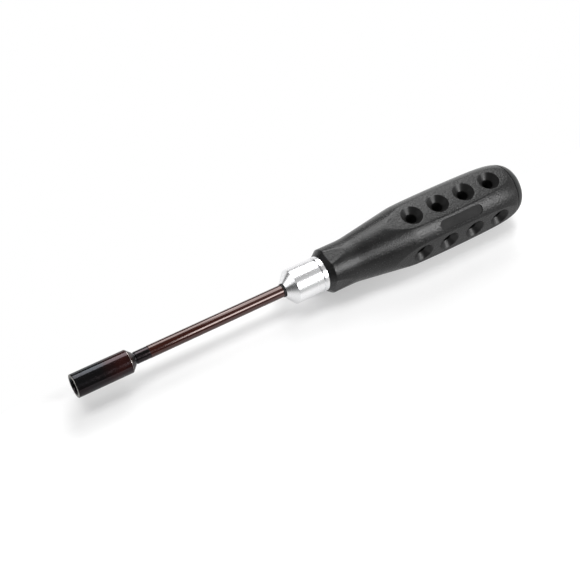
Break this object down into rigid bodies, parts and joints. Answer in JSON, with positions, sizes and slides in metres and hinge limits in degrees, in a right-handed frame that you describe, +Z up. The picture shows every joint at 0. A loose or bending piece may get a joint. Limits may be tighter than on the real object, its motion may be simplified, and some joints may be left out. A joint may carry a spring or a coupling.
{
  "type": "nut driver",
  "caption": "Hand nut driver: black steel hex socket on a slim brown shaft, aluminium cone nose and a four-sided black plastic grip with countersunk grip holes.",
  "frame": {"origin": "centre of the socket's mouth, on the tool's axis", "axes": "+X along the tool's axis from the socket's mouth to the butt, +Z up out of one flat of the grip when the tool lies on the opposite flat, +Y to the side of the set screw"},
  "size_m": [0.1965, 0.0224, 0.0224],
  "materials": {
    "black_steel": "black oxide, satin gloss, bare bright rim",
    "brown_steel": "dark red-brown coating, semi-gloss",
    "ring_rubber": "smooth black rubber",
    "nose_aluminium": "fine turned, polished",
    "screw_steel": "blackened",
    "washer_steel": "zinc plated",
    "grip_plastic": "fine spark texture, charcoal black",
    "cap_plastic": "fine spark texture, black"
  },
  "bodies": {
    "handle": {"grip": "grip_plastic", "nose": "nose_aluminium", "tie_bolt": "screw_steel", "washer": "washer_steel", "spring_washer": "washer_steel"},
    "blade": {"socket": "black_steel", "shaft": "brown_steel", "shaft_ring": "ring_rubber"},
    "set_screw": {"set_screw": "screw_steel"},
    "end_cap": {"end_cap": "cap_plastic"}
  },
  "joints": [
    {"name": "blade_slide", "type": "slide", "parent": "handle", "child": "blade", "axis": [-1, 0, 0], "range_m": [0, 0.03]},
    {"name": "set_screw_travel", "type": "slide", "parent": "handle", "child": "set_screw", "axis": [0, 1, 0], "range_m": [0, 0.0025]},
    {"name": "cap_pull", "type": "slide", "parent": "handle", "child": "end_cap", "axis": [1, 0, 0], "range_m": [0, 0.012]}
  ]
}
